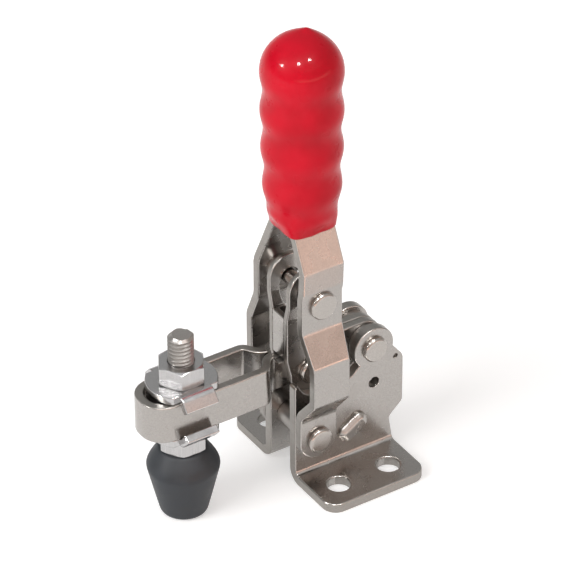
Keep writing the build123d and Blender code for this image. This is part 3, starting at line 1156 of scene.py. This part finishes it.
    def tip(self) -> bpy.types.Object:
        """Turn the rubber tip from its hollowed foot up to the collar under the nut.

        Returns:
            The finished tip.
        """
        rings = [Ring(level * MM, radius * MM) for level, radius in self.tip_profile]
        bpy.ops.mesh.primitive_circle_add(
            vertices=96, radius=rings[0].radius, fill_type="NGON", location=(self.x, 0, rings[0].level)
        )
        obj = fresh("rubber_tip_dressed")
        with editing(obj):
            bpy.ops.mesh.select_all(action="SELECT")
            turn_end(Vector((self.x, 0, 0)), Way.Z, rings[0], rings[1:])
        face_outwards(obj)
        bpy.ops.object.shade_smooth_by_angle(angle=math.radians(50))
        return obj

    def build(self) -> None:
        """Build the stud, the washers, the nuts and the tip."""
        self.settle(self.stud(), "stud", Body.SPINDLE, Slot.FASTENER, ROLLED)
        cuts = [(Way.X, self.x), (Way.Y, 0.0)]
        for node, face, up in zip(("washer_upper", "washer_lower"), self.washer_levels, (1, -1)):
            self.settle(self.washer(f"{node}_dressed", face, up), node, Body.SPINDLE, Slot.FASTENER, BRIGHT)
        for node in ("nut_upper", "nut_lower"):
            self.refine(node, Body.SPINDLE, Slot.FASTENER, BRIGHT, self.nut_round, cuts, self.nut_crisp)
        self.settle(self.tip(), "rubber_tip", Body.SPINDLE, Slot.TIP, MOULDED)


# ---------------------------------------------------------------- room


@dataclass(frozen=True)
class Lamp:
    """Round lamp that faces the clamp.

    Attributes:
        place: Where it hangs.
        power: Its power in watts.
        size: Its width.
        bare: Whether it is a bare bulb, which shows as a glint and lights nothing, or a broad screen,
            which lights the clamp and shows nowhere.
    """

    place: Place
    power: float
    size: float
    bare: bool

    def hang(self, aim: Vector) -> None:
        """Hang the lamp in its place.

        Args:
            aim: Point that it faces.
        """
        data = bpy.data.lights.new("soft lamp", "AREA")
        data.energy, data.size, data.shape = self.power, self.size, "DISK"
        lamp = bpy.data.objects.new("soft lamp", data)
        lamp.location = self.place
        lamp.rotation_euler = (aim - Vector(self.place)).to_track_quat("-Z", "Y").to_euler()
        lamp.visible_diffuse, lamp.visible_glossy = not self.bare, self.bare
        bpy.context.scene.collection.objects.link(lamp)


@dataclass
class Room:
    """Pale floor, three bare bulbs, one broad screen, and walls whose light changes with direction.

    Attributes:
        aim: Point that the camera and the lamps face.
        distance: Distance of the camera from it.
        azimuth: Where the camera stands, from the near side towards the clamp's rear.
        elevation: How high it stands.
        roll: How far it is turned about its own axis.
        lens: Its focal length in millimetres, on a film 36 mm wide.
        lamps: The lamps.
        floor_radius: Radius of the floor.
        floor_border: Width of the border at its rim.
        strength: Light of the walls.
        cream: Light of the cream band low in front.
        cream_colour: Hex code of that band.
        corner_colour: Hex code of the dim corner at the left rear.
        front: Colours of the front wall, from the horizon up.
        rear: Colours of the rear wall, from the horizon up.
        band: Where the cream band lies, from the horizon up.
        corner: How far the dim corner covers the wall, from the horizon up.
        rear_reach: Where the rear wall begins and where it is full, along y.
        cream_reach: Where the cream band begins and where it is full, along y.
        corner_reach: Where the dim corner begins and where it is full, along x and along y.
    """

    aim: Place = (-10.34 * MM, 0.0, 49.08 * MM)
    distance: float = 0.9758
    azimuth: float = -32.63
    elevation: float = 35.24
    roll: float = -0.25
    lens: float = 4382.5 * 36 / 580
    lamps: tuple[Lamp, ...] = (
        Lamp((-1.155, 0.216, 0.775), 9.0, 0.2, True),
        Lamp((-0.601, -0.58, 1.164), 9.0, 0.2, True),
        Lamp((0.076, -0.7, 1.25), 9.0, 0.2, True),
        Lamp((-1.1, -0.05, 0.8), 12.5, 0.9, False),
    )
    floor_radius: float = 3.0
    floor_border: float = 0.2
    strength: float = 0.66
    cream: float = 3.0
    cream_colour: str = "FFCDB8"
    corner_colour: str = "3A3835"
    front: Stops = ((0.0, "F4E6DD"), (0.2, "F2E8E0"), (0.45, "F4EAE2"), (0.62, "F2EEEA"), (0.86, "FFFFFF"))
    rear: Stops = ((0.0, "F2F2F2"), (0.35, "D6D6D5"), (0.6, "DADAD9"), (0.9, "FFFFFF"))
    band: Stops = (
        (0.0, "000000"), (0.02, "FFFFFF"), (0.11, "FFFFFF"), (0.17, "000000"),
        (0.46, "000000"), (0.58, "A0A0A0"), (0.7, "000000"),
    )
    corner: Stops = ((0.04, "000000"), (0.16, "E0E0E0"), (0.42, "E0E0E0"), (0.6, "000000"))
    rear_reach: Span = (-0.35, 0.15)
    cream_reach: Span = (-0.55, -0.8)
    corner_reach: tuple[Span, Span] = ((-0.25, -0.5), (0.2, 0.5))

    def camera(self) -> None:
        """Stand the camera to the left of the near side, looking down on the clamp."""
        data = bpy.data.cameras.new("camera")
        data.sensor_width, data.lens, data.clip_end = 36, self.lens, 100
        camera = bpy.data.objects.new("camera", data)
        bpy.context.scene.collection.objects.link(camera)
        around, up = math.radians(self.azimuth), math.radians(self.elevation)
        out = Vector((math.sin(around) * math.cos(up), -math.cos(around) * math.cos(up), math.sin(up)))
        camera.location = Vector(self.aim) + out * self.distance
        camera.rotation_euler = (-out).to_track_quat("-Z", "Y").to_euler()
        camera.rotation_euler.rotate_axis("Z", math.radians(self.roll))
        bpy.context.scene.camera = camera

    def floor(self) -> None:
        """Lay the round floor at the mounting face, with a border far outside."""
        bpy.ops.object.select_all(action="DESELECT")
        bpy.ops.mesh.primitive_circle_add(
            vertices=64, radius=self.floor_radius, fill_type="NGON", location=(0, 0, 0)
        )
        floor = fresh("floor")
        with editing(floor):
            bpy.ops.mesh.select_all(action="SELECT")
            bpy.ops.mesh.inset(thickness=self.floor_border)
        floor.data.materials.append(PaleFloor("pale studio floor").material())

    def walls(self) -> None:
        """Colour the room by direction: pale all round, warm in front, a dim corner and a cream band."""
        world = bpy.data.worlds.new("room")
        bpy.context.scene.world = world
        world.use_nodes = True
        tree = world.node_tree
        tree.nodes.clear()
        way = add_node(tree, "ShaderNodeTexCoord", {}).outputs["Generated"]
        parts = add_node(tree, "ShaderNodeSeparateXYZ", {0: way})
        front, rear, band, dim = (
            add_node(tree, "ShaderNodeValToRGB", {0: parts.outputs[2]}, stops).outputs[0]
            for stops in (self.front, self.rear, self.band, self.corner)
        )
        reaches = (self.rear_reach, self.cream_reach, *self.corner_reach)
        spans = (
            {"Value": parts.outputs[axis], "From Min": start, "From Max": full}
            for axis, (start, full) in zip((1, 1, 0, 1), reaches)
        )
        back, fore, left, deep = (add_node(tree, "ShaderNodeMapRange", span).outputs[0] for span in spans)
        for reach in (left, deep):
            dim = add_node(tree, "ShaderNodeMath", {0: dim, 1: reach}, operation="MULTIPLY").outputs[0]
        pale = add_node(tree, "ShaderNodeMix", {0: back, 6: front, 7: rear}, data_type="RGBA").outputs[2]
        mix = {0: dim, 6: pale, 7: srgb(self.corner_colour)}
        colour = add_node(tree, "ShaderNodeMix", mix, data_type="RGBA")
        walls = {"Color": colour.outputs[2], "Strength": self.strength}
        paint = add_node(tree, "ShaderNodeBackground", walls)
        cream = add_node(tree, "ShaderNodeMath", {0: band, 1: fore}, operation="MULTIPLY")
        power = add_node(tree, "ShaderNodeMath", {0: cream.outputs[0], 1: self.cream}, operation="MULTIPLY")
        screen = {"Color": srgb(self.cream_colour), "Strength": power.outputs[0]}
        glow = add_node(tree, "ShaderNodeBackground", screen)
        both = add_node(tree, "ShaderNodeAddShader", {0: paint.outputs[0], 1: glow.outputs[0]})
        add_node(tree, "ShaderNodeOutputWorld", {"Surface": both.outputs[0]})

    def build(self) -> None:
        """Set the camera, the floor, the walls and the lamps."""
        self.camera()
        self.floor()
        self.walls()
        for lamp in self.lamps:
            lamp.hang(Vector(self.aim))
        bpy.context.scene.view_settings.view_transform = "Standard"


def main() -> None:
    """Build the sub-assemblies in order, then the room round them, and report each piece."""
    for group in (Base(), Handle(), Link(), Arm(), Spindle()):
        group.build()
        for piece in group.pieces:
            log.info("%s: %s, %d faces", type(group).__name__, piece.name, len(piece.data.polygons))
    Room().build()


if __name__ == "__main__":
    main()
